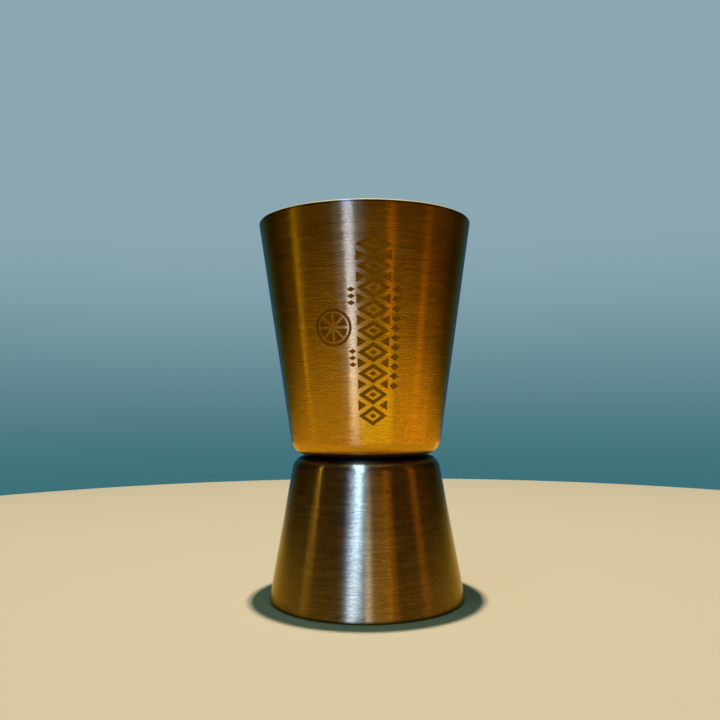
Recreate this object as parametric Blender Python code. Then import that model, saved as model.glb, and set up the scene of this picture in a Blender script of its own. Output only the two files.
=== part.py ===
"""Double bar jigger: two deep-drawn tapered cups, spot-welded base to base.

Metres, +Z up. The origin is on the jigger's axis, in the plane of the small cup's rim,
which is what the jigger stands on. Each cup is turned mouth up in its own frame, with
its origin at the centre of the outer face of its base. The large cup stands on the seam
as it is, and the small cup is turned over and hangs from the seam.
"""

import math

import bmesh
import bpy

# Whole jigger
OVERALL_HEIGHT = 0.0787
SEAM_HEIGHT = 0.0298
SEAM_GAP = 0.0003

# Large cup: 50 ml, with a little to spare
LARGE_RIM_RADIUS = 0.0225
LARGE_BASE_RADIUS = 0.01535
LARGE_CORNER_RADIUS = 0.0034

# Small cup: 25 ml, with a little to spare
SMALL_RIM_RADIUS = 0.02035
SMALL_BASE_RADIUS = 0.0151
SMALL_CORNER_RADIUS = 0.0028

# Sheet that both cups are drawn from
WALL = 0.0007
LIP_ROUNDING = 0.0002

# Spot welds between the two bases
WELD_COUNT = 3
WELD_RADIUS = 0.0018
WELD_CIRCLE_RADIUS = 0.0055
WELD_THICKNESS = 0.00024
WELD_EDGE = 0.00006

# Facets of the turned pieces
CUP_SEGMENTS = 72
WELD_SEGMENTS = 24
CORNER_STEPS = 6
LIP_STEPS = 2
SHARP_ANGLE = math.radians(35)
MERGE_DISTANCE = 1e-7

# Linear colours, and how rough the brushing leaves each surface
LARGE_CUP_COLOUR = (0.52, 0.30, 0.085)
SMALL_CUP_COLOUR = (0.30, 0.19, 0.10)
WELD_COLOUR = (0.20, 0.17, 0.15)
BRUSHED_ROUGHNESS = 0.34
WELD_ROUGHNESS = 0.6


def clear_scene():
    """Removes every object that the file opened with."""
    for obj in list(bpy.data.objects):
        bpy.data.objects.remove(obj, do_unlink=True)


def metal(name, colour, roughness):
    """A metallic Principled material."""
    material = bpy.data.materials.new(name)
    material.use_nodes = True
    shader = material.node_tree.nodes["Principled BSDF"]
    shader.inputs["Base Color"].default_value = (*colour, 1.0)
    shader.inputs["Metallic"].default_value = 1.0
    shader.inputs["Roughness"].default_value = roughness
    return material


def arc(centre, radius, start, end, steps):
    """Points (r, z) on a circle about centre, from angle start to angle end."""
    points = []
    for step in range(steps + 1):
        angle = start + (end - start) * step / steps
        r = centre[0] + radius * math.cos(angle)
        z = centre[1] + radius * math.sin(angle)
        points.append((r, z))
    return points


def cup_profile(rim_radius, base_radius, corner_radius, height):
    """Half section (r, z) of a cup with its mouth up, from the inside of the floor to the outside.

    It runs out over the floor, up the inner wall, over the lip, down the outer wall and in
    under the base. base_radius is where the outer cone would meet the base plane if the
    corner were sharp. The floor, the corner and the wall are all WALL thick.
    """
    slope = (rim_radius - base_radius) / height
    lean = math.atan(slope)

    def line_radius(z, inset):
        """Radius at z of the cone that lies inset inside the outer one."""
        return base_radius + slope * z - inset / math.cos(lean)

    # The bend's centre is one corner radius inside both the base plane and the outer cone.
    bend_centre = (line_radius(corner_radius, corner_radius), corner_radius)
    inner_bend = arc(bend_centre, corner_radius - WALL, -math.pi / 2, -lean, CORNER_STEPS)
    outer_bend = arc(bend_centre, corner_radius, -lean, -math.pi / 2, CORNER_STEPS)

    # Each edge of the lip is rounded between the wall and the flat rim.
    lip_height = height - LIP_ROUNDING
    inner_lip_centre = (line_radius(lip_height, WALL - LIP_ROUNDING), lip_height)
    outer_lip_centre = (line_radius(lip_height, LIP_ROUNDING), lip_height)
    inner_lip = arc(inner_lip_centre, LIP_ROUNDING, math.pi - lean, math.pi / 2, LIP_STEPS)
    outer_lip = arc(outer_lip_centre, LIP_ROUNDING, math.pi / 2, -lean, LIP_STEPS)

    return [(0.0, WALL), *inner_bend, *inner_lip, *outer_lip, *outer_bend, (0.0, 0.0)]


def weld_profile():
    """Half section of a weld nugget: a thin disc whose edge comes to a blunt ridge."""
    half = WELD_THICKNESS / 2
    face_radius = WELD_RADIUS - WELD_EDGE
    return [(0.0, half), (face_radius, half), (WELD_RADIUS, 0.0), (face_radius, -half), (0.0, -half)]


def turned(name, profile, segments, material):
    """A closed solid of revolution about the object's own Z axis."""
    mesh = bpy.data.meshes.new(name)
    bm = bmesh.new()
    verts = [bm.verts.new((r, 0.0, z)) for r, z in profile]
    edges = [bm.edges.new(pair) for pair in zip(verts, verts[1:])]
    bmesh.ops.spin(
        bm,
        geom=verts + edges,
        cent=(0.0, 0.0, 0.0),
        axis=(0.0, 0.0, 1.0),
        angle=2 * math.pi,
        steps=segments,
        use_merge=True,
    )
    bmesh.ops.remove_doubles(bm, verts=bm.verts, dist=MERGE_DISTANCE)
    bmesh.ops.recalc_face_normals(bm, faces=bm.faces)
    bm.to_mesh(mesh)
    bm.free()
    mesh.shade_smooth()
    mesh.set_sharp_from_angle(angle=SHARP_ANGLE)
    mesh.materials.append(material)
    obj = bpy.data.objects.new(name, mesh)
    bpy.context.scene.collection.objects.link(obj)
    return obj


def build_upper_cup():
    """The large cup, mouth up, with its base just above the seam."""
    base = SEAM_HEIGHT + SEAM_GAP / 2
    profile = cup_profile(
        LARGE_RIM_RADIUS, LARGE_BASE_RADIUS, LARGE_CORNER_RADIUS, OVERALL_HEIGHT - base
    )
    material = metal("large_cup_metal", LARGE_CUP_COLOUR, BRUSHED_ROUGHNESS)
    cup = turned("upper_cup", profile, CUP_SEGMENTS, material)
    cup.location = (0.0, 0.0, base)
    return cup


def build_lower_cup():
    """The small cup, turned over, with its base just below the seam and its rim at z = 0."""
    base = SEAM_HEIGHT - SEAM_GAP / 2
    profile = cup_profile(SMALL_RIM_RADIUS, SMALL_BASE_RADIUS, SMALL_CORNER_RADIUS, base)
    material = metal("small_cup_metal", SMALL_CUP_COLOUR, BRUSHED_ROUGHNESS)
    cup = turned("lower_cup", profile, CUP_SEGMENTS, material)
    cup.rotation_euler = (math.pi, 0.0, 0.0)
    cup.location = (0.0, 0.0, base)
    return cup


def build_spot_welds(upper_cup):
    """Equal nuggets on a circle in the seam, held by the large cup's base."""
    material = metal("weld_metal", WELD_COLOUR, WELD_ROUGHNESS)
    for index in range(WELD_COUNT):
        angle = math.pi / 2 + 2 * math.pi * index / WELD_COUNT
        weld = turned(f"spot_weld_{index + 1}", weld_profile(), WELD_SEGMENTS, material)
        weld.parent = upper_cup
        weld.location = (
            WELD_CIRCLE_RADIUS * math.cos(angle),
            WELD_CIRCLE_RADIUS * math.sin(angle),
            -SEAM_GAP / 2,
        )


def main():
    clear_scene()
    upper_cup = build_upper_cup()
    build_lower_cup()
    build_spot_welds(upper_cup)


main()
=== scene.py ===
"""Looks of the double bar jigger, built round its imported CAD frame.

Two fine turned shells stand for the CAD cups, an etched ornament lies on the large cup,
and the weld nuggets keep their CAD shape with a material of their own. Metres, +Z up.
The jigger stands on z = 0 with its axis on the Z axis, and its front faces -Y.
"""

import math

import bmesh
import bpy
import numpy as np
from mathutils import Matrix, Vector


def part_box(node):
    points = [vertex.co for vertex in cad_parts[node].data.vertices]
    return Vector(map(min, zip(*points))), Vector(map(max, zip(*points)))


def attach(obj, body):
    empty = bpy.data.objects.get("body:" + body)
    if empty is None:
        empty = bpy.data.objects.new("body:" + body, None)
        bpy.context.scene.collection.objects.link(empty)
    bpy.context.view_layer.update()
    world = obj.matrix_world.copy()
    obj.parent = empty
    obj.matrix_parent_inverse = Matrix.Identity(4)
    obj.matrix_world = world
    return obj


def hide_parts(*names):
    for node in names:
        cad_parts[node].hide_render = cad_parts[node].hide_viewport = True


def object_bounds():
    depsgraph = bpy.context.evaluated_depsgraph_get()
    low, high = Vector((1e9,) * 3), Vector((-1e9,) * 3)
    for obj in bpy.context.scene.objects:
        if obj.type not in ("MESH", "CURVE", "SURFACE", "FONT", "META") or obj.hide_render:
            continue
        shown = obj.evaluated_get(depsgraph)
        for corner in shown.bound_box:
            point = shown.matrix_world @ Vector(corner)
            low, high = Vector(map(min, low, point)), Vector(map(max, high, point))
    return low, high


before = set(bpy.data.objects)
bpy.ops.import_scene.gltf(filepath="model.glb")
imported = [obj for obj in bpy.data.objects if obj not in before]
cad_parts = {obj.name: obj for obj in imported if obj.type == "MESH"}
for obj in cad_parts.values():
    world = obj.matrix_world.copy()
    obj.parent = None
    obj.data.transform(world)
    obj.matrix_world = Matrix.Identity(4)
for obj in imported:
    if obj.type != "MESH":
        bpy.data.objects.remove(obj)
cad_low, cad_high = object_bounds()

# ---------------------------------------------------------------- driving dimensions

MM = 0.001

# Drawn cups, as the CAD has them
LARGE_RIM_RADIUS = 22.5 * MM
LARGE_BASE_RADIUS = 15.35 * MM
LARGE_CORNER_RADIUS = 3.4 * MM
SMALL_RIM_RADIUS = 20.35 * MM
SMALL_BASE_RADIUS = 15.1 * MM
SMALL_CORNER_RADIUS = 2.8 * MM
WALL = 0.7 * MM

# The lip is rounder than in the CAD, with only a hair of flat left on it
LIP_ROUNDING = 0.32 * MM

# Fineness of the turned shells
SHELL_SEGMENTS = 288
ROW_STEP = 0.9 * MM
FLOOR_STEP = 0.35 * MM
BEND_STEPS = 18
LIP_STEPS = 8

# Slight waves that drawing left in the wall: their height, how many are added up, and the
# ranges of their turns round the cup and of their rise up it, in radians per metre
WAVE_HEIGHT = 0.006 * MM
WAVE_COUNT = 7
WAVE_TURNS = (2, 9)
WAVE_RISES = (80, 420)

# The waves start this far above the base, grow over a stretch, and fade out below the lip
WAVE_START = 4 * MM
WAVE_GROWTH = 8 * MM
WAVE_FADE = 3 * MM

# Dents that the welding electrodes left in the two floors
DENT_RADIUS = 1.5 * MM
DENT_DEPTH = 0.16 * MM
HEAT_RADIUS = 2.6 * MM

# How far down the lip is rubbed bright
LIP_WEAR = 0.28 * MM

# Distances below the lip, in millimetres, between which a painted shade line under it comes and goes
UNDER_LIP_START = (0.26, 0.36)
UNDER_LIP_END = (0.42, 0.72)

# Heights above each base between which the painted shade beside the seam fades out: a dark band that
# stands in for shade and dark reflection in the neck
LARGE_SEAM_SHADE = (0.70 * MM, 1.05 * MM)
SMALL_SEAM_SHADE = (0.32 * MM, 0.60 * MM)

# Etched ornament: how far it stands out, how deep it is let in, its widest flat strip, how
# close a point may lie to a cut before it counts as on it, and the angle that shades as an edge
ETCH_PROUD = 0.012 * MM
ETCH_SUNK = 0.03 * MM
ETCH_STRIP = 0.45 * MM
CUT_TOLERANCE = 1e-9
SHARP_ANGLE = math.radians(40)

# Points on each circle of the citrus wheel, and steps of each segment's arc
CIRCLE_POINTS = 40
WEDGE_STEPS = 6

# Diamonds of one link of the etched chain, as shares of its size: outline, hole and core
LINK_SHARES = (1.0, 0.56, 0.26)

# Brushing: features per radian round the axis, and lines per metre across them
FINE_BRUSHING = (4.5, 2900.0)
MEDIUM_BRUSHING = (2.5, 1400.0)
BROAD_BRUSHING = (1.5, 420.0)
GRAIN = (20.0, 4400.0)

# Depth of the surface relief on each metal
LARGE_RELIEF = 0.010 * MM
SMALL_RELIEF = 0.006 * MM
ETCH_RELIEF = 0.016 * MM
WELD_RELIEF = 0.030 * MM

# How rough the brushing leaves each cup
LARGE_ROUGHNESS = 0.24
SMALL_ROUGHNESS = 0.23

# Where handling has dulled the large cup's wall, and how far that reaches
LARGE_PATCH = (Vector((-1.6, -15.9, 33.6)) * MM, 1.5 * MM)

# Linear base colours: at the jigger's foot and at its top, of the rubbed lip, of dust and
# of the tint that heat left round the dents. Both cups are one steel: the large cup's amber,
# brighter at the foot and darker towards the top, is painted reflection of a golden table,
# and the small cup's dark tone is painted shade.
LARGE_COLOURS = {
    "low": (0.80, 0.340, 0.010),
    "high": (0.44, 0.225, 0.013),
    "edge": (0.90, 0.68, 0.14),
    "speck": (0.90, 0.60, 0.03),
    "heat": (0.22, 0.16, 0.02),
}
SMALL_COLOURS = {
    "low": (0.23, 0.130, 0.020),
    "high": (0.23, 0.150, 0.028),
    "edge": (0.30, 0.20, 0.035),
    "speck": (0.50, 0.40, 0.07),
    "heat": (0.22, 0.16, 0.02),
}
# The etch darkens the metal; its amber hue carries the same painted reflection as the cup
ETCH_COLOUR = (0.28, 0.115, 0.0045)
# Painted shade beside the seam in the neck
SEAM_SHADE_COLOUR = (0.010, 0.006, 0.0008)
# Painted shade for the thin dark line under the lip
UNDER_LIP_SHADE_COLOUR = (0.035, 0.020, 0.0012)
PIT_COLOUR = (0.012, 0.008, 0.0006)
HANDLED_COLOUR = (0.10, 0.045, 0.003)
WELD_BLUE = (0.10, 0.11, 0.15)
WELD_STRAW = (0.27, 0.20, 0.13)

# Tint of what each metal reflects at grazing angles
LARGE_GRAZING = (1.0, 0.90, 0.50)
SMALL_GRAZING = (1.0, 0.88, 0.52)
ETCH_GRAZING = (1.0, 0.85, 0.50)

# Camera: a close view from about the jigger's middle height, tilted slightly up
CAMERA_PLACE = Vector((-1.15, -160.0, 41.1)) * MM
CAMERA_PITCH = math.radians(3.109)
CAMERA_ROLL = math.radians(-0.402)
SENSOR = 36.0
CAMERA_LENS = 37.53
CAMERA_NEAR = 10 * MM

# Table top, which is open inside the foot
FLOOR_RADIUS = 240 * MM
FLOOR_HOLE_RADIUS = SMALL_RIM_RADIUS - WALL
FLOOR_SEGMENTS = 192
FLOOR_COLOUR = (0.82, 0.67, 0.45)

# The point on the axis that every light faces, and how far from it most of them stand
AIM = Vector((0.0, 0.0, 38.0)) * MM
LIGHT_DISTANCE = 0.7

# Backdrop that the camera sees, at the bottom and at the top
BACKDROP_LOW = (0.045, 0.165, 0.190)
BACKDROP_HIGH = (0.26, 0.39, 0.44)

# Room that the metal reflects: in front, at the sides, behind, above and below
ROOM_LEFT = (0.066, 0.051, 0.028)
ROOM_RIGHT = (0.100, 0.046, 0.011)
ROOM_SIDES = (0.022, 0.017, 0.011)
BEHIND_LEFT = (0.032, 0.120, 0.480)
BEHIND_RIGHT = (0.030, 0.100, 0.340)
ROOM_ABOVE = (0.16, 0.18, 0.24)
ROOM_OVERHEAD = (0.80, 0.92, 1.30)
ROOM_BELOW = (0.030, 0.018, 0.008)
ROOM_UNDERFOOT = (0.60, 0.62, 0.95)

# Light that the room throws on the floor
ROOM_FOR_FLOOR = (0.010, 0.052, 0.042)

# Colours of the lights
WHITE = (1.0, 0.95, 0.88)
TEAL = (0.40, 0.95, 1.0)
ORANGE = (1.0, 0.44, 0.07)
YELLOW = (1.0, 0.80, 0.35)


# ---------------------------------------------------------------- node helpers


class Nodes:
    """A small builder for a material's or a world's node tree."""

    def __init__(self, owner):
        owner.use_nodes = True
        self.tree = owner.node_tree
        self.tree.nodes.clear()

    def add(self, kind, **settings):
        node = self.tree.nodes.new(kind)
        for name, value in settings.items():
            setattr(node, name, value)
        return node

    def feed(self, socket, value):
        """Links value to socket if it is an output, or stores it there."""
        if isinstance(value, bpy.types.NodeSocket):
            self.tree.links.new(value, socket)
        else:
            socket.default_value = value

    def math(self, operation, *values, clamp=False):
        node = self.add("ShaderNodeMath", operation=operation, use_clamp=clamp)
        for socket, value in zip(node.inputs, values):
            self.feed(socket, value)
        return node.outputs[0]

    def vector(self, operation, *values):
        node = self.add("ShaderNodeVectorMath", operation=operation)
        for socket, value in zip(node.inputs, values):
            self.feed(socket, value)
        scalar = operation in ("LENGTH", "DISTANCE")
        return node.outputs["Value" if scalar else "Vector"]

    def combine(self, x, y, z):
        node = self.add("ShaderNodeCombineXYZ")
        for socket, value in zip(node.inputs, (x, y, z)):
            self.feed(socket, value)
        return node.outputs[0]

    def split(self, vector):
        node = self.add("ShaderNodeSeparateXYZ")
        self.feed(node.inputs[0], vector)
        return node.outputs

    def noise(self, vector, scale, detail=2.0, roughness=0.5):
        node = self.add("ShaderNodeTexNoise")
        self.feed(node.inputs["Vector"], vector)
        node.inputs["Scale"].default_value = scale
        node.inputs["Detail"].default_value = detail
        node.inputs["Roughness"].default_value = roughness
        return node.outputs["Fac"]

    def spots(self, vector, scale):
        """Distance to the nearest of scattered points."""
        node = self.add("ShaderNodeTexVoronoi")
        self.feed(node.inputs["Vector"], vector)
        node.inputs["Scale"].default_value = scale
        return node.outputs["Distance"]

    def span(self, value, low, high, to_low=0.0, to_high=1.0):
        """Maps low..high smoothly to to_low..to_high, clamped."""
        node = self.add("ShaderNodeMapRange", clamp=True, interpolation_type="SMOOTHSTEP")
        for socket, item in zip(node.inputs, (value, low, high, to_low, to_high)):
            self.feed(socket, item)
        return node.outputs[0]

    def mix(self, factor, first, second, blend="MIX"):
        node = self.add("ShaderNodeMix", data_type="RGBA", blend_type=blend)
        self.feed(node.inputs[0], factor)
        for socket, value in zip(node.inputs[6:8], (first, second)):
            self.feed(socket, value if isinstance(value, bpy.types.NodeSocket) else (*value, 1.0))
        return node.outputs[2]

    def attribute(self, name):
        return self.add("ShaderNodeAttribute", attribute_name=name).outputs["Fac"]


# ---------------------------------------------------------------- metal


def metal_surface(n, tone, roughness, relief, depth, strength, grazing=None, brushed=0.0):
    """Ends a material's tree with a metal. brushed is how far the brushing stretches highlights."""
    bump = n.add("ShaderNodeBump")
    bump.inputs["Strength"].default_value = strength
    bump.inputs["Distance"].default_value = depth
    n.feed(bump.inputs["Height"], relief)
    shader = n.add("ShaderNodeBsdfPrincipled")
    n.feed(shader.inputs["Base Color"], tone)
    n.feed(shader.inputs["Roughness"], roughness)
    n.feed(shader.inputs["Normal"], bump.outputs[0])
    shader.inputs["Metallic"].default_value = 1.0
    if grazing:
        shader.inputs["Specular Tint"].default_value = (*grazing, 1.0)
    if brushed:
        tangent = n.add("ShaderNodeTangent", direction_type="RADIAL", axis="Z").outputs[0]
        n.feed(shader.inputs["Tangent"], tangent)
        shader.inputs["Anisotropic"].default_value = brushed
        # A quarter turn, so that highlights stretch up the wall
        shader.inputs["Anisotropic Rotation"].default_value = 0.25
    output = n.add("ShaderNodeOutputMaterial")
    n.feed(output.inputs["Surface"], shader.outputs[0])


def marked(n, tone, mask, weight, colour):
    """Lays colour over tone by weight wherever mask is 1."""
    return n.mix(n.math("MULTIPLY", mask, weight), tone, colour)


def brushed_metal(name, colours, roughness, grazing, relief_depth, patch=None):
    """Drawn metal with fine brushing round the axis.

    colours holds the base colours by name. grazing tints what the metal reflects at grazing
    angles. patch is a place where handling has dulled the wall, and how far that reaches.
    """
    material = bpy.data.materials.new(name)
    n = Nodes(material)
    place = n.add("ShaderNodeTexCoord").outputs["Object"]
    x, y, z = n.split(place)
    flat = n.combine(x, y, 0.0)
    radius = n.vector("LENGTH", flat)
    round_dir = n.vector("NORMALIZE", flat)
    dir_x, dir_y, _ = n.split(round_dir)

    # One coordinate along the section serves the walls and the floors alike.
    along = n.math("ADD", z, radius)

    def brushing(turns, lines_per_m):
        """Streaks that run round the axis: turns features per radian, lines_per_m across."""
        vector = n.combine(
            n.math("MULTIPLY", dir_x, turns),
            n.math("MULTIPLY", dir_y, turns),
            n.math("MULTIPLY", along, lines_per_m),
        )
        return n.noise(vector, 1.0, 1.0, 0.6)

    fine = brushing(*FINE_BRUSHING)
    medium = brushing(*MEDIUM_BRUSHING)
    broad = brushing(*BROAD_BRUSHING)
    grain = brushing(*GRAIN)
    mottle = n.noise(place, 110.0, 3.0, 0.55)

    # Base colour: a tone that shifts with height, then brushing and mottling. The low and high tones
    # carry painted reflection and shade.
    tone = n.mix(n.attribute("height"), colours["low"], colours["high"])
    shade = n.math("ADD", 1.0, n.span(fine, 0.3, 0.7, -0.08, 0.08))
    shade = n.math("ADD", shade, n.span(medium, 0.3, 0.7, -0.05, 0.05))
    shade = n.math("ADD", shade, n.span(grain, 0.32, 0.68, -0.12, 0.12))
    shade = n.math("ADD", shade, n.span(mottle, 0.3, 0.7, -0.03, 0.03))
    tone = n.mix(1.0, tone, n.combine(shade, shade, shade), "MULTIPLY")

    # The rubbed lip, the heat round the dents, and painted shade beside the seam and under the lip
    wear = n.attribute("wear")
    seam_shade = n.attribute("seam_shade")
    rim = n.attribute("rim")
    # Painted shade: a thin dark line just under the lip
    under_lip_shade = n.math("MULTIPLY", n.span(rim, *UNDER_LIP_START), n.span(rim, *UNDER_LIP_END, 1.0, 0.0))
    tone = marked(n, tone, wear, 0.75, colours["edge"])
    tone = marked(n, tone, n.attribute("heat"), 0.8, colours["heat"])
    tone = marked(n, tone, seam_shade, 0.97, SEAM_SHADE_COLOUR)
    tone = marked(n, tone, under_lip_shade, 0.7, UNDER_LIP_SHADE_COLOUR)

    # Scattered specks of dust and small pits
    specks = n.spots(place, 270.0)
    pits = n.spots(n.vector("ADD", place, (0.31, 0.17, 0.53)), 190.0)
    tone = marked(n, tone, n.span(specks, 0.030, 0.055, 1.0, 0.0), 0.6, colours["speck"])
    tone = marked(n, tone, n.span(pits, 0.018, 0.034, 1.0, 0.0), 0.7, PIT_COLOUR)

    # A ragged patch that handling has dulled
    dulling = 0.0
    if patch:
        centre, size = patch
        near = n.vector("DISTANCE", place, tuple(centre))
        ragged = n.span(n.noise(place, 700.0, 3.0), 0.3, 0.7, -size * 0.7, size * 0.7)
        dulling = n.span(n.math("ADD", near, ragged), size * 0.4, size * 1.3, 1.0, 0.0)
        tone = marked(n, tone, dulling, 0.14, HANDLED_COLOUR)

    # Roughness follows the brushing, and drops where the lip is rubbed bright.
    rough = n.math("ADD", roughness, n.span(medium, 0.3, 0.7, -0.014, 0.014))
    rough = n.math("ADD", rough, n.span(mottle, 0.3, 0.7, -0.006, 0.006))
    rough = n.math("SUBTRACT", rough, n.math("MULTIPLY", wear, 0.06))
    rough = n.math("ADD", rough, n.math("MULTIPLY", seam_shade, 0.30))
    rough = n.math("ADD", rough, n.math("MULTIPLY", dulling, 0.03), clamp=True)

    relief = n.math("ADD", n.math("MULTIPLY", fine, 0.8), n.math("MULTIPLY", medium, 0.35))
    relief = n.math("ADD", relief, n.math("MULTIPLY", broad, 0.12))
    relief = n.math("ADD", relief, n.math("MULTIPLY", grain, 3.2))
    metal_surface(n, tone, rough, relief, relief_depth, 0.55, grazing, 0.85)
    return material


def etched_metal(name, colour):
    """Metal dulled and darkened by the etch, with the brushing still faint in it."""
    material = bpy.data.materials.new(name)
    n = Nodes(material)
    place = n.add("ShaderNodeTexCoord").outputs["Object"]
    stretched = n.vector("MULTIPLY", place, (500.0, 500.0, 5200.0))
    lines = n.noise(stretched, 1.0, 2.0, 0.6)
    cloud = n.noise(place, 900.0, 3.0, 0.6)
    shade = n.math("ADD", n.span(lines, 0.3, 0.7, 0.82, 1.12), n.span(cloud, 0.3, 0.7, -0.16, 0.16))
    tone = n.mix(1.0, colour, n.combine(shade, shade, shade), "MULTIPLY")
    rough = n.span(cloud, 0.3, 0.7, 0.42, 0.54)
    metal_surface(n, tone, rough, n.math("ADD", lines, cloud), ETCH_RELIEF, 0.6, ETCH_GRAZING, 0.8)
    return material


def weld_metal(name):
    """Fused metal: dull, with the blue and straw tints that heat leaves."""
    material = bpy.data.materials.new(name)
    n = Nodes(material)
    place = n.add("ShaderNodeTexCoord").outputs["Object"]
    cloud = n.noise(place, 900.0, 3.0, 0.6)
    tone = n.mix(n.span(cloud, 0.35, 0.65), WELD_BLUE, WELD_STRAW)
    rough = n.span(cloud, 0.3, 0.7, 0.45, 0.68)
    metal_surface(n, tone, rough, n.noise(place, 2500.0, 3.0, 0.6), WELD_RELIEF, 0.5)
    return material


# ---------------------------------------------------------------- turned shells


def arc(centre, radius, start, end, steps):
    """Points (r, h) on a circle about centre, from angle start to angle end."""
    angles = np.linspace(start, end, steps + 1)
    return [(centre[0] + radius * math.cos(a), centre[1] + radius * math.sin(a)) for a in angles]


def between(first, last, step):
    """Evenly spaced points strictly between two ends, no further apart than step."""
    length = math.dist(first, last)
    count = max(1, math.ceil(length / step))
    shares = np.arange(1, count) / count
    return [tuple(np.add(first, np.subtract(last, first) * share)) for share in shares]


def cup_section(rim_radius, base_radius, corner_radius, height):
    """Half section (r, h) of a cup, h counted from the outer face of its base to its mouth.

    It runs out over the floor, up the inner wall, over the lip, down the outer wall and in
    under the base.
    """
    slope = (rim_radius - base_radius) / height
    lean = math.atan(slope)

    def line_radius(h, inset):
        return base_radius + slope * h - inset / math.cos(lean)

    bend_centre = (line_radius(corner_radius, corner_radius), corner_radius)
    inner_bend = arc(bend_centre, corner_radius - WALL, -math.pi / 2, -lean, BEND_STEPS)
    outer_bend = arc(bend_centre, corner_radius, -lean, -math.pi / 2, BEND_STEPS)
    lip_height = height - LIP_ROUNDING
    inner_centre = (line_radius(lip_height, WALL - LIP_ROUNDING), lip_height)
    outer_centre = (line_radius(lip_height, LIP_ROUNDING), lip_height)
    inner_lip = arc(inner_centre, LIP_ROUNDING, math.pi - lean, math.pi / 2, LIP_STEPS)
    outer_lip = arc(outer_centre, LIP_ROUNDING, math.pi / 2, -lean, LIP_STEPS)
    floor_middle, base_middle = (0.0, WALL), (0.0, 0.0)
    points = [floor_middle, *between(floor_middle, inner_bend[0], FLOOR_STEP)]
    points += [*inner_bend, *between(inner_bend[-1], inner_lip[0], ROW_STEP)]
    points += [*inner_lip, *outer_lip, *between(outer_lip[-1], outer_bend[0], ROW_STEP)]
    points += [*outer_bend, *between(outer_bend[-1], base_middle, ROW_STEP), base_middle]
    return np.array(points)


def section_normals(points):
    """Outward normals (r, h) of a section that runs from the floor to the underside."""
    run = np.gradient(points, axis=0)
    run /= np.linalg.norm(run, axis=1)[:, None]
    return np.column_stack([-run[:, 1], run[:, 0]])


def wall_waves(angle, h, seed):
    """A sum of a few slow waves round and up the wall, mostly from -1 to 1."""
    random = np.random.default_rng(seed)
    total = np.zeros(np.broadcast(angle, h).shape)
    for _ in range(WAVE_COUNT):
        turns = random.integers(*WAVE_TURNS)
        rise = random.uniform(*WAVE_RISES)
        total += np.sin(turns * angle + rise * h + random.uniform(0, 2 * math.pi))
    return 2 * total / WAVE_COUNT


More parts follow.
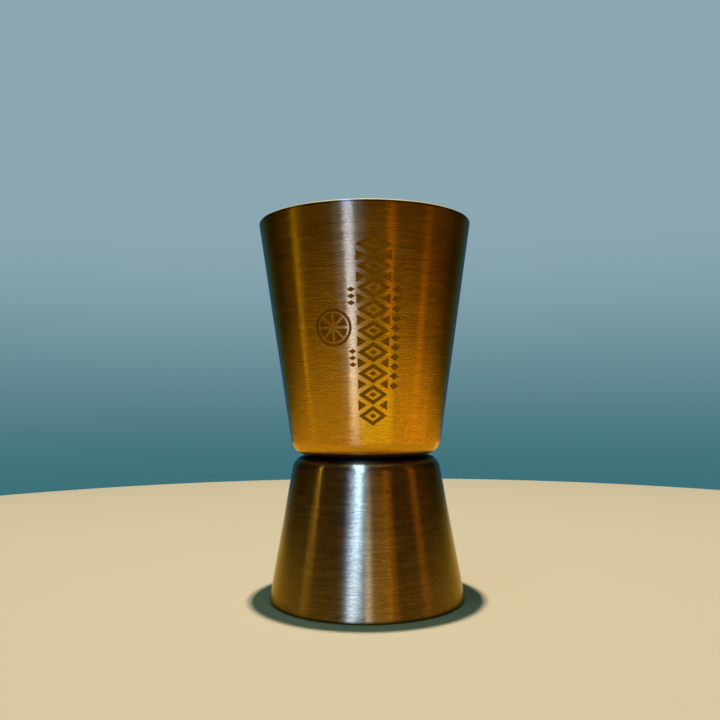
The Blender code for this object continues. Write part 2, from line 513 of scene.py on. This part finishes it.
def turned_shell(name, section, base_height, upright, welds, seam_shade, seed):
    """A closed cup of revolution in the row frame, with the attributes its metal reads.

    welds are the places (x, y) of the dents in its floor. The argument after welds gives the
    heights above the base between which the painted shade beside the seam fades out.
    """
    normals = section_normals(section)
    rings = section[1:-1]
    ring_normals = normals[1:-1]
    height = section[:, 1].max()
    angle = np.linspace(0, 2 * math.pi, SHELL_SEGMENTS, endpoint=False)[None, :]
    r = rings[:, 0][:, None]
    h = rings[:, 1][:, None]

    # The waves fade out towards the lip and the flat of the base.
    free_wall = np.clip((h - WAVE_START) / WAVE_GROWTH, 0, 1)
    free_wall = free_wall * np.clip((height - h) / WAVE_FADE, 0, 1)
    wave = WAVE_HEIGHT * free_wall * wall_waves(angle, h, seed)
    outer = np.arange(len(rings))[:, None] > np.argmax(rings[:, 1])
    wave = np.where(outer, wave, -wave)
    radius = r + ring_normals[:, 0][:, None] * wave
    level = h + ring_normals[:, 1][:, None] * wave
    x, y = radius * np.cos(angle), radius * np.sin(angle)

    # The electrodes' dents are in the floor, and heat has tinted the metal round them.
    dent = np.zeros_like(x)
    heat = np.zeros_like(x)
    on_floor = (~outer) & (h < WALL * 1.5)
    for weld in welds:
        away = np.hypot(x - weld[0], y - weld[1])
        dent += np.exp(-((away / DENT_RADIUS) ** 4))
        ring = np.exp(-(((away - DENT_RADIUS) / (HEAT_RADIUS - DENT_RADIUS)) ** 2))
        heat = np.maximum(heat, ring)
    level = level - DENT_DEPTH * dent * on_floor
    heat = heat * on_floor

    up = 1.0 if upright else -1.0
    z = base_height + up * level
    grid = np.stack([x, y, np.broadcast_to(z, x.shape)], axis=-1).reshape(-1, 3)
    first = (0.0, 0.0, base_height + up * section[0, 1])
    last = (0.0, 0.0, base_height + up * section[-1, 1])
    places = np.vstack([grid, [first], [last]])

    wear = np.broadcast_to(np.exp(-(((height - h) / LIP_WEAR) ** 4)), x.shape)
    below_lip = np.broadcast_to((height - h) / MM, x.shape)

    # Painted shade beside the seam: the metal is darkened there, standing in for shade and dark
    # reflection in the neck.
    shade_full_below, shade_gone_above = seam_shade
    seam_shade_share = np.clip((shade_gone_above - h) / (shade_gone_above - shade_full_below), 0, 1)
    seam_shade_share = np.broadcast_to(np.where(outer, seam_shade_share * seam_shade_share * (3 - 2 * seam_shade_share), 0.0), x.shape)

    # Quads between the rings, and a fan of triangles to each end of the section
    rows, columns = x.shape
    index = np.arange(rows * columns).reshape(rows, columns)
    right = np.roll(index, -1, axis=1)
    faces = np.stack([index[:-1], right[:-1], right[1:], index[1:]], axis=-1).reshape(-1, 4).tolist()
    start, end = rows * columns, rows * columns + 1
    faces += [[start, right[0, i], index[0, i]] for i in range(columns)]
    faces += [[end, index[-1, i], right[-1, i]] for i in range(columns)]
    if upright:
        faces = [face[::-1] for face in faces]

    mesh = bpy.data.meshes.new(name)
    mesh.from_pydata(places.tolist(), [], faces)
    # One value for each ring point, then one for each end of the section
    values = {
        "wear": np.append(wear.ravel(), [0.0, 0.0]),
        "heat": np.append(heat.ravel(), [0.0, 0.0]),
        "seam_shade": np.append(seam_shade_share.ravel(), [0.0, 1.0]),
        "rim": np.append(below_lip.ravel(), [height / MM, height / MM]),
        "height": places[:, 2] / cad_high.z,
    }
    for key, value in values.items():
        layer = mesh.attributes.new(key, "FLOAT", "POINT")
        layer.data.foreach_set("value", value.astype(np.float32))
    mesh.shade_smooth()
    mesh.update()
    shell = bpy.data.objects.new(name, mesh)
    bpy.context.scene.collection.objects.link(shell)
    return shell


# ---------------------------------------------------------------- etched ornament


class Cone:
    """The outer wall of the large cup, for laying flat shapes on it."""

    def __init__(self, base_height, top_height, base_radius, rim_radius):
        self.base_height = base_height
        self.slope = (rim_radius - base_radius) / (top_height - base_height)
        self.base_radius = base_radius
        self.lean = math.atan(self.slope)

    def place(self, angle, z, proud):
        """The point at an angle from the front, towards +X, proud of the wall."""
        r = self.base_radius + self.slope * (z - self.base_height) + proud * math.cos(self.lean)
        level = z - proud * math.sin(self.lean)
        return Vector((r * math.sin(angle), -r * math.cos(angle), level))


def etched_shapes(name, cone, centre_angle, middle_radius, outlines, material):
    """Thin closed plates on the cone, as one piece.

    An outline is a list of (across, z) points, with across measured from centre_angle at
    middle_radius. It may be followed by holes.
    """
    # Fill the outlines on a plane and cut them into strips, which follow the cone closely.
    flat = bmesh.new()
    for outline, *holes in outlines:
        edges = []
        for loop in (outline, *holes):
            verts = [flat.verts.new((across, z, 0.0)) for across, z in loop]
            edges += [flat.edges.new((a, b)) for a, b in zip(verts, verts[1:] + verts[:1])]
        bmesh.ops.triangle_fill(flat, edges=edges, use_beauty=True, normal=(0, 0, 1))
    low = min(v.co.x for v in flat.verts)
    high = max(v.co.x for v in flat.verts)
    cut = math.floor(low / ETCH_STRIP) * ETCH_STRIP
    while cut < high:
        bmesh.ops.bisect_plane(
            flat,
            geom=flat.verts[:] + flat.edges[:] + flat.faces[:],
            dist=CUT_TOLERANCE,
            plane_co=(cut, 0, 0),
            plane_no=(1, 0, 0),
        )
        cut += ETCH_STRIP
    flat.verts.index_update()

    # Lay the strips on the cone, give them a thickness and close their edges.
    mesh = bpy.data.meshes.new(name)
    solid = bmesh.new()
    tops, bottoms = [], []
    for vert in flat.verts:
        angle = centre_angle + vert.co.x / middle_radius
        tops.append(solid.verts.new(cone.place(angle, vert.co.y, ETCH_PROUD)))
        bottoms.append(solid.verts.new(cone.place(angle, vert.co.y, -ETCH_SUNK)))
    for face in flat.faces:
        order = [v.index for v in face.verts]
        solid.faces.new([tops[i] for i in order])
        solid.faces.new([bottoms[i] for i in reversed(order)])
    for edge in flat.edges:
        if len(edge.link_faces) == 1:
            a, b = (v.index for v in edge.verts)
            solid.faces.new([tops[a], tops[b], bottoms[b], bottoms[a]])
    flat.free()
    bmesh.ops.recalc_face_normals(solid, faces=solid.faces)
    solid.to_mesh(mesh)
    solid.free()
    mesh.shade_smooth()
    mesh.set_sharp_from_angle(angle=SHARP_ANGLE)
    mesh.materials.append(material)
    piece = bpy.data.objects.new(name, mesh)
    bpy.context.scene.collection.objects.link(piece)
    return piece


def lozenge(z, half_width, half_height):
    """Corner points of a diamond at height z."""
    return [(-half_width, z), (0.0, z - half_height), (half_width, z), (0.0, z + half_height)]


def circle(z, radius):
    """Points of a circle at height z."""
    angles = np.arange(CIRCLE_POINTS) * 2 * math.pi / CIRCLE_POINTS
    return [(radius * math.cos(a), z + radius * math.sin(a)) for a in angles]


def wedge(z, inner, outer, start, end):
    """A segment of the slice at height z: a point at the inner radius, an arc at the outer one."""
    middle = (start + end) / 2
    point = (inner * math.cos(middle), z + inner * math.sin(middle))
    return [point, *arc((0.0, z), outer, start, end, WEDGE_STEPS)]


# ---------------------------------------------------------------- the pieces


def add_cups():
    """The two fine shells. Returns them and the large cup's outer wall, for the ornament."""
    welds = []
    for node in sorted(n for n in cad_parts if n.startswith("spot_weld")):
        low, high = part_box(node)
        welds.append(((low.x + high.x) / 2, (low.y + high.y) / 2))

    low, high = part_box("upper_cup")
    section = cup_section(LARGE_RIM_RADIUS, LARGE_BASE_RADIUS, LARGE_CORNER_RADIUS, high.z - low.z)
    large = turned_shell("large_cup_shell", section, low.z, True, welds, LARGE_SEAM_SHADE, seed=3)
    # Steel painted amber: the colour is painted reflection of a golden table, darker towards the top
    large_metal = brushed_metal(
        "brushed_steel_painted_amber", LARGE_COLOURS, LARGE_ROUGHNESS, LARGE_GRAZING, LARGE_RELIEF, LARGE_PATCH
    )
    large.data.materials.append(large_metal)
    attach(large, "root")
    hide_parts("upper_cup")
    cone = Cone(low.z, high.z, LARGE_BASE_RADIUS, LARGE_RIM_RADIUS)

    low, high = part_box("lower_cup")
    section = cup_section(SMALL_RIM_RADIUS, SMALL_BASE_RADIUS, SMALL_CORNER_RADIUS, high.z - low.z)
    small = turned_shell("small_cup_shell", section, high.z, False, welds, SMALL_SEAM_SHADE, seed=8)
    # The same steel painted dark: the colour is painted shade
    small_metal = brushed_metal(
        "brushed_steel_painted_dark", SMALL_COLOURS, SMALL_ROUGHNESS, SMALL_GRAZING, SMALL_RELIEF
    )
    small.data.materials.append(small_metal)
    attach(small, "root")
    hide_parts("lower_cup")
    return large, small, cone


def add_ornament(cone):
    """A chain of diamonds up the front, a finer row beside it, and a citrus wheel."""
    material = etched_metal("etched_amber", ETCH_COLOUR)
    middle_radius = math.hypot(*cone.place(0.0, 54 * MM, 0.0).xy)

    # Diamonds that nearly touch, with small triangles in the notches between them
    chain = []
    links, low, high = 9, 36.2 * MM, 72.4 * MM
    pitch = (high - low) / links
    half_width, half_height = 3.1 * MM, pitch * 0.47
    notch_tip, notch_half_height = half_width * 0.42, pitch * 0.25
    for i in range(links):
        z = low + pitch * (i + 0.5)
        outline, hole, core = (lozenge(z, half_width * k, half_height * k) for k in LINK_SHARES)
        chain.append([outline, hole])
        chain.append([core])
    for i in range(links - 1):
        z = low + pitch * (i + 1)
        for side in (-1, 1):
            tip, back = side * notch_tip, side * half_width
            corners = [(tip, z), (back, z - notch_half_height), (back, z + notch_half_height)]
            chain.append([corners[::side]])

    # A row of small diamonds
    row = []
    dots, low, high = 13, 43.0 * MM, 66.6 * MM
    pitch = (high - low) / dots
    half_width, half_height = 0.95 * MM, pitch * 0.40
    for i in range(dots):
        row.append([lozenge(low + pitch * (i + 0.5), half_width, half_height)])

    # A slice of citrus: the peel and its segments
    wheel_height = 55 * MM
    peel_outside, peel_inside = 3.6 * MM, 3.1 * MM
    slice_inner, slice_outer = 0.7 * MM, 2.7 * MM
    segments, gap = 8, math.radians(10)
    wheel = [[circle(wheel_height, peel_outside), circle(wheel_height, peel_inside)]]
    for i in range(segments):
        start = 2 * math.pi * i / segments + gap / 2
        end = 2 * math.pi * (i + 1) / segments - gap / 2
        wheel.append([wedge(wheel_height, slice_inner, slice_outer, start, end)])

    # Three ticks below the wheel and three above it
    ticks = []
    pitch, half_width, half_height = 1.25 * MM, 0.75 * MM, 0.5 * MM
    for middle in (49.2 * MM, 60.8 * MM):
        for i in (-1, 0, 1):
            ticks.append([lozenge(middle + i * pitch, half_width, half_height)])

    # Name, angle from the front in degrees, and outlines
    plans = (
        ("etched_chain", 4.3, chain),
        ("etched_row", 17.5, row),
        ("etched_citrus_wheel", -19.0, wheel),
        ("etched_ticks", -8.0, ticks),
    )
    pieces = []
    for name, degrees, outlines in plans:
        piece = etched_shapes(name, cone, math.radians(degrees), middle_radius, outlines, material)
        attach(piece, "root")
        pieces.append(piece)
    return pieces


def finish_welds():
    """The nuggets keep their CAD shape."""
    material = weld_metal("heat_tinted_weld")
    for name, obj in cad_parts.items():
        if name.startswith("spot_weld"):
            obj.data.materials.clear()
            obj.data.materials.append(material)


# ---------------------------------------------------------------- studio


def add_floor():
    """A plain pale round table top, seen only from above, and open inside the foot."""
    mesh = bpy.data.meshes.new("floor")
    bm = bmesh.new()
    rings = []
    for radius in (FLOOR_RADIUS, FLOOR_HOLE_RADIUS):
        rings += bmesh.ops.create_circle(bm, radius=radius, segments=FLOOR_SEGMENTS)["verts"]
    edges = {edge for vert in rings for edge in vert.link_edges}
    bmesh.ops.bridge_loops(bm, edges=list(edges))
    bmesh.ops.recalc_face_normals(bm, faces=bm.faces)
    if any(face.normal.z < 0 for face in bm.faces):
        bmesh.ops.reverse_faces(bm, faces=bm.faces)
    bm.to_mesh(mesh)
    bm.free()
    floor = bpy.data.objects.new("floor", mesh)
    bpy.context.scene.collection.objects.link(floor)

    # The underside is clear, so that the jigger can be seen from below.
    material = bpy.data.materials.new("pale_floor")
    n = Nodes(material)
    matte = n.add("ShaderNodeBsdfDiffuse")
    matte.inputs["Color"].default_value = (*FLOOR_COLOUR, 1.0)
    clear = n.add("ShaderNodeBsdfTransparent")
    mix = n.add("ShaderNodeMixShader")
    n.feed(mix.inputs[0], n.add("ShaderNodeNewGeometry").outputs["Backfacing"])
    n.feed(mix.inputs[1], matte.outputs[0])
    n.feed(mix.inputs[2], clear.outputs[0])
    output = n.add("ShaderNodeOutputMaterial")
    n.feed(output.inputs["Surface"], mix.outputs[0])
    mesh.materials.append(material)


def around(azimuth, elevation, distance=LIGHT_DISTANCE):
    """The point at a distance from AIM. Azimuth runs from -Y towards +X, in degrees."""
    a, e = math.radians(azimuth), math.radians(elevation)
    return AIM + distance * Vector((math.sin(a) * math.cos(e), -math.cos(a) * math.cos(e), math.sin(e)))


def add_light(name, low, high, width, colour, radiance, gloss=True, matte=False, lit=None):
    """A rectangular light from low to high that faces AIM. radiance is its face's brightness.

    gloss and matte say which kinds of surface it lights, and lit can hold it to some objects.
    """
    data = bpy.data.lights.new(name, "AREA")
    data.shape = "RECTANGLE"
    data.size, data.size_y = width, (high - low).length
    data.color = colour
    data.energy = radiance * math.pi * data.size * data.size_y
    light = bpy.data.objects.new(name, data)
    middle = (low + high) / 2
    up = (high - low).normalized()
    away = (middle - AIM).normalized()
    side = up.cross(away).normalized()
    away = side.cross(up)
    light.matrix_world = Matrix.Translation(middle) @ Matrix((side, up, away)).transposed().to_4x4()
    light.visible_camera = False
    light.visible_diffuse = matte
    light.visible_glossy = gloss
    bpy.context.scene.collection.objects.link(light)
    if lit:
        receivers = bpy.data.collections.new(name + "_lit")
        for obj in lit:
            receivers.objects.link(obj)
        light.light_linking.receiver_collection = receivers


def add_world():
    """A plain backdrop for the camera, and a dim warm room with a cool far side for the metal."""
    world = bpy.data.worlds.new("studio")
    bpy.context.scene.world = world
    n = Nodes(world)
    direction = n.add("ShaderNodeTexCoord").outputs["Generated"]
    x, y, z = n.split(direction)

    # In front from left to right, then the sides, behind, above and below, each over the last
    room = n.mix(n.span(x, -0.25, 0.35), ROOM_LEFT, ROOM_RIGHT)
    room = n.mix(n.span(y, -0.1, 0.55), room, ROOM_SIDES)
    behind = n.mix(n.span(x, -0.5, 0.5), BEHIND_LEFT, BEHIND_RIGHT)
    room = n.mix(n.span(y, 0.5, 0.9), room, behind)
    tilted = n.math("MULTIPLY_ADD", y, 0.35, z)
    room = n.mix(n.span(tilted, 0.62, 0.85), room, ROOM_ABOVE)
    room = n.mix(n.span(z, 0.86, 0.96), room, ROOM_OVERHEAD)
    room = n.mix(n.span(z, -0.35, -0.08, 1.0, 0.0), room, ROOM_BELOW)
    room = n.mix(n.span(z, -0.60, -0.30, 1.0, 0.0), room, ROOM_UNDERFOOT)

    # The floor is lit by one even colour, and the camera sees the backdrop.
    backdrop = n.mix(n.span(z, -0.12, 0.24), BACKDROP_LOW, BACKDROP_HIGH)
    path = n.add("ShaderNodeLightPath").outputs
    room = n.mix(path["Is Diffuse Ray"], room, ROOM_FOR_FLOOR)
    background = n.add("ShaderNodeBackground")
    n.feed(background.inputs["Color"], n.mix(path["Is Camera Ray"], room, backdrop))
    output = n.add("ShaderNodeOutputWorld")
    n.feed(output.inputs["Surface"], background.outputs[0])


def add_lights(large, small):
    """Lamps for the floor, then the strips whose reflections run down the metal.

    large and small list the objects of each cup. A strip is held to one cup, and the first
    of its objects is the cup itself. The metal reflects very little blue, so the strips that
    have to look white on it are strongly blue.
    """
    lamp, half_lamp = Vector((0.0, 0.0, 920.0)) * MM, Vector((0.0, 10.0, 0.0)) * MM
    floor_only = {"gloss": False, "matte": True}
    add_light("key_above", lamp - half_lamp, lamp + half_lamp, 20 * MM, WHITE, 5400.0, **floor_only)
    add_light("fill_above", around(-30, 45, 0.9), around(-30, 95, 0.9), 0.7, TEAL, 0.28, **floor_only)

    # The bright line down the large cup, from a strip that stands close in front
    near_low = Vector((-27.8, -110.0, 15.0)) * MM
    near_high = Vector((-38.0, -110.0, 170.0)) * MM
    add_light("large_highlight", near_low, near_high, 17 * MM, (0.024, 0.050, 1.0), 47.0, lit=large[:1])
    add_light("large_glow", near_low, near_high, 60 * MM, (0.018, 0.055, 1.0), 2.4, lit=large[:1])

    # Name, objects, azimuth and elevation of each end, width, colour and radiance
    strips = (
        ("rim_lamp", large, (0, 58), (180, 36), 0.9, (0.26, 0.33, 1.0), 2.8),
        ("small_highlight", small, (-25, -8), (-8.5, 16), 0.075, (0.060, 0.134, 1.0), 86.0),
        ("small_cap", small, (-9, 16), (-150, 80), 0.115, (0.052, 0.145, 1.0), 76.0),
        ("small_glow", small, (-20, -8), (-7, 40), 0.27, (0.034, 0.084, 1.0), 5.5),
        ("small_shoulder", small, (1, -6), (1, 5), 0.085, (0.22, 0.285, 1.0), 19.5),
        ("small_warm", small, (16, -14), (16, 1), 0.30, YELLOW, 2.6),
        ("large_line", large, (-89, -14), (-66, 26), 0.008, (1.0, 0.9, 0.35), 4.6),
        ("small_line", small, (-83, -6), (-74, 9), 0.010, YELLOW, 4.2),
        ("small_line_cap", small, (-73, 9), (-84, 38), 0.010, YELLOW, 11.5),
        ("large_orange_near", large, (28, -19), (28, -4), 0.095, ORANGE, 1.3),
        ("large_orange_far", large, (72, -19), (72, -4), 0.11, ORANGE, 0.75),
        ("small_orange_near", small, (30, -4), (30, 28), 0.13, ORANGE, 0.50),
        ("small_orange_far", small, (72, -4), (72, 34), 0.12, ORANGE, 0.45),
    )
    for name, lit, low, high, width, colour, radiance in strips:
        add_light(name, around(*low), around(*high), width, colour, radiance, lit=lit)

    # Low glows stand for a golden table top: azimuth, colour and radiance
    glows = ((8, (0.82, 1.0, 0.03), 1.05), (68, (1.0, 0.64, 0.03), 0.46), (128, (1.0, 0.6, 0.03), 0.20))
    glow_distance, glow_width = 100 * MM, 110 * MM
    for azimuth, colour, radiance in glows:
        low, high = around(azimuth, 0, glow_distance), around(azimuth, 0, glow_distance)
        low.z, high.z = 2 * MM, 24 * MM
        add_light(f"table_glow_{azimuth}", low, high, glow_width, colour, radiance, lit=large)


def add_camera():
    """The photo's view."""
    data = bpy.data.cameras.new("camera")
    data.sensor_width = SENSOR
    data.lens = CAMERA_LENS
    data.clip_start = CAMERA_NEAR
    camera = bpy.data.objects.new("camera", data)
    tilt = Matrix.Rotation(math.pi / 2 + CAMERA_PITCH, 4, "X")
    roll = Matrix.Rotation(CAMERA_ROLL, 4, "Z")
    camera.matrix_world = Matrix.Translation(CAMERA_PLACE) @ tilt @ roll
    bpy.context.scene.collection.objects.link(camera)
    bpy.context.scene.camera = camera


add_camera()
large_cup, small_cup, large_wall = add_cups()
ornament = add_ornament(large_wall)
finish_welds()
add_floor()
add_world()
add_lights([large_cup, *ornament], [small_cup])
bpy.context.scene.view_settings.view_transform = "Standard"
